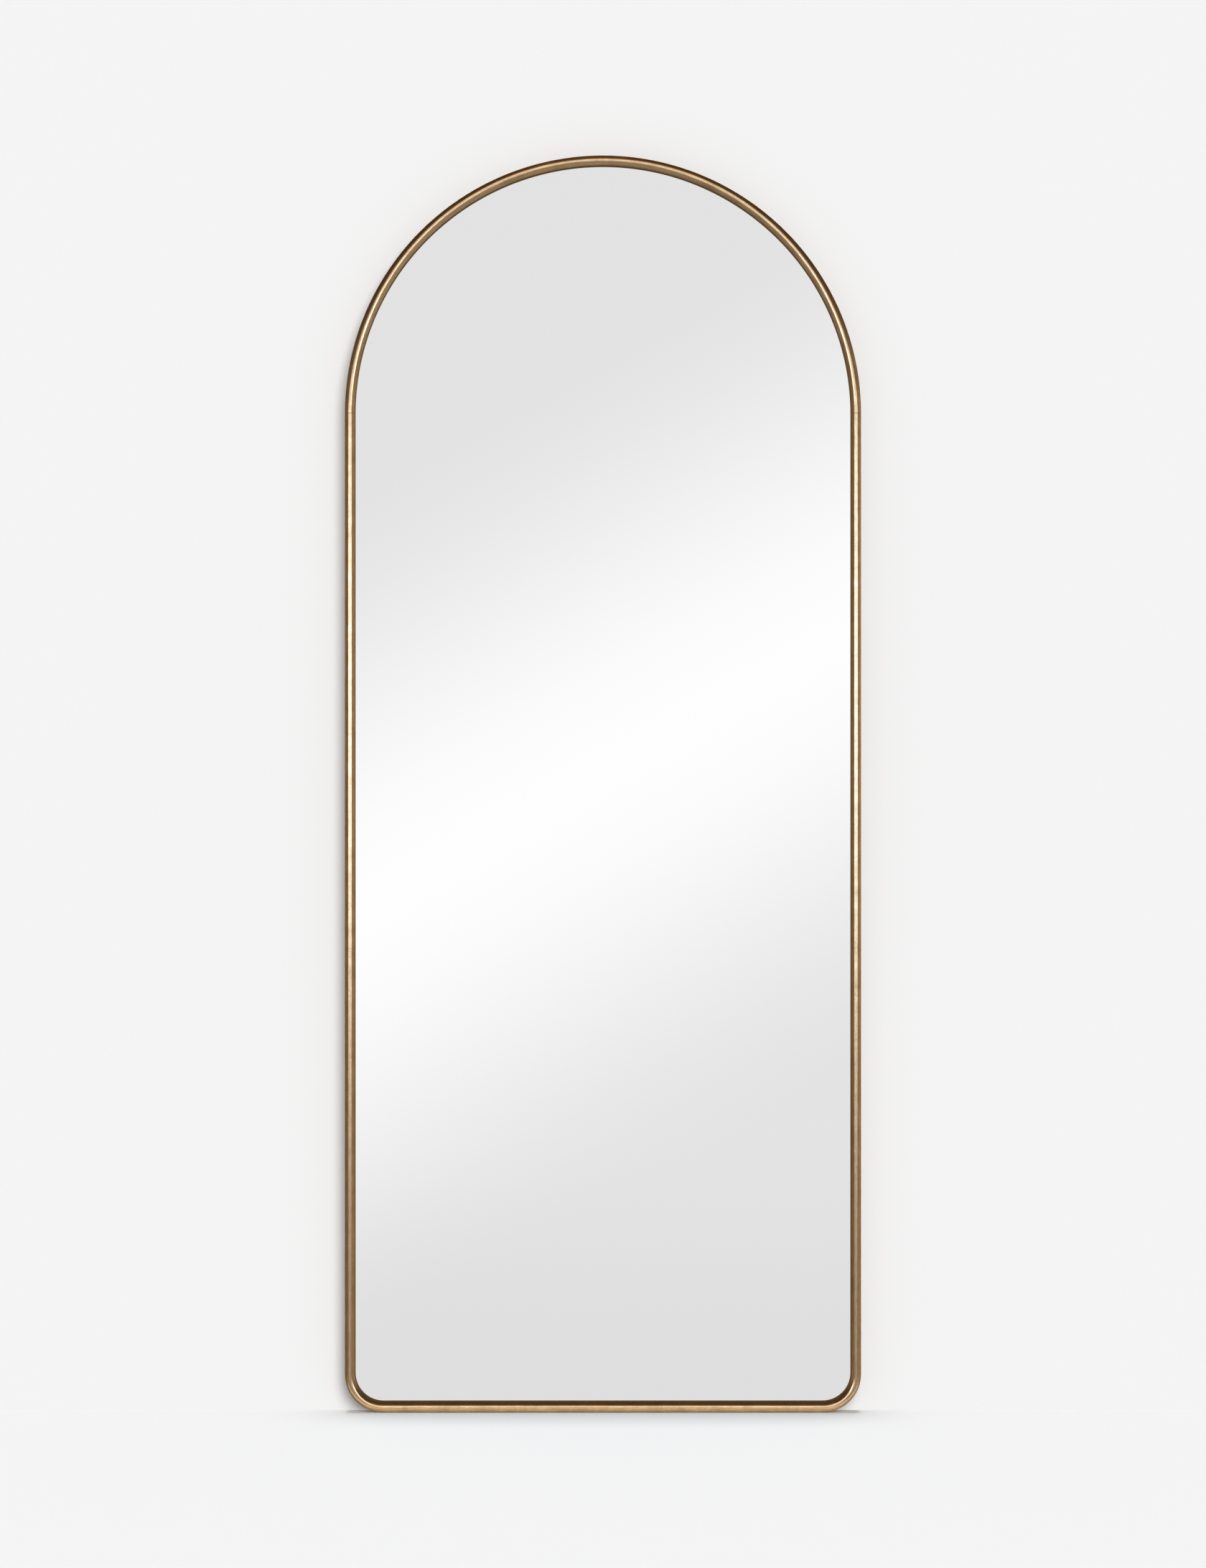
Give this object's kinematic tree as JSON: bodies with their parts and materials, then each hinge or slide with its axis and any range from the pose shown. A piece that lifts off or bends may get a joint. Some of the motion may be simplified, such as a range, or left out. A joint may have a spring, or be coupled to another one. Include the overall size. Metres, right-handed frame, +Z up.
{
  "type": "leaning floor mirror",
  "caption": "Tall arched full-length mirror: flat glass in a slim round tube frame, bedded in a shallow rear tray with wall bumpers, foot pads and folding D-ring hangers.",
  "frame": {"origin": "on the floor, at mid width and mid depth", "axes": "+X to the right seen from the front, +Y from the viewer to the wall behind, +Z up"},
  "size_m": [0.813, 0.0422, 1.9809],
  "materials": {
    "gold_leafed_tube": "antiqued gold leaf over steel tube",
    "gold_leafed_plate": "antique gold paint over sheet steel",
    "raw_steel": "bare drawn steel",
    "mirror_glass": "silvered float glass, polished arris",
    "safety_film": "vinyl safety backing",
    "glazing_tape": "black foam tape",
    "black_rubber": "matt moulded rubber",
    "foam_pad": "polyethylene foam",
    "backboard": "fibreboard, black sealed face",
    "black_steel": "black powder coat, fine texture",
    "zinc_screws": "bright zinc plate",
    "zinc_hardware": "bright zinc plate"
  },
  "bodies": {
    "mirror": {"arch_tube": "gold_leafed_tube", "lower_tube": "gold_leafed_tube", "joint_sleeve_left": "raw_steel", "joint_sleeve_right": "raw_steel", "lip_plate_upper": "gold_leafed_plate", "lip_plate_lower": "gold_leafed_plate", "rim_band_upper": "gold_leafed_plate", "rim_band_lower": "gold_leafed_plate", "stitch_welds": "gold_leafed_plate", "mirror_glass": "mirror_glass", "safety_film": "safety_film", "glazing_tape": "glazing_tape", "setting_block_left": "black_rubber", "setting_block_right": "black_rubber", "edge_pads": "black_rubber", "cushion_pads": "foam_pad", "backboard": "backboard", "bracket_rim_screws": "zinc_screws", "bracket_board_screws": "zinc_screws", "upper_crossbar": "black_steel", "lower_crossbar": "black_steel", "crossbar_screws": "zinc_screws", "hanger_strap_left": "zinc_hardware", "hanger_strap_right": "zinc_hardware", "hanger_screws": "zinc_screws", "wall_bumper_lower_left": "black_rubber", "wall_bumper_lower_right": "black_rubber", "wall_bumper_upper_left": "black_rubber", "wall_bumper_upper_right": "black_rubber", "bumper_washers": "zinc_screws", "bumper_screws": "zinc_screws", "foot_pad_left": "black_rubber", "foot_pad_right": "black_rubber", "retaining_bracket_1": "black_steel", "retaining_bracket_2": "black_steel", "retaining_bracket_3": "black_steel", "retaining_bracket_4": "black_steel", "retaining_bracket_5": "black_steel", "retaining_bracket_6": "black_steel", "retaining_bracket_7": "black_steel", "retaining_bracket_8": "black_steel", "retaining_bracket_9": "black_steel", "retaining_bracket_10": "black_steel"},
    "d_ring_left": {"d_ring_left": "zinc_hardware"},
    "d_ring_right": {"d_ring_right": "zinc_hardware"}
  },
  "joints": [
    {"name": "d_ring_left_swing", "type": "hinge", "parent": "mirror", "child": "d_ring_left", "pos_m": [-0.3, 0.01468, 1.4809], "axis": [1, 0, 0], "range_deg": [0, 180]},
    {"name": "d_ring_right_swing", "type": "hinge", "parent": "mirror", "child": "d_ring_right", "pos_m": [0.3, 0.01468, 1.4809], "axis": [1, 0, 0], "range_deg": [0, 180]}
  ]
}
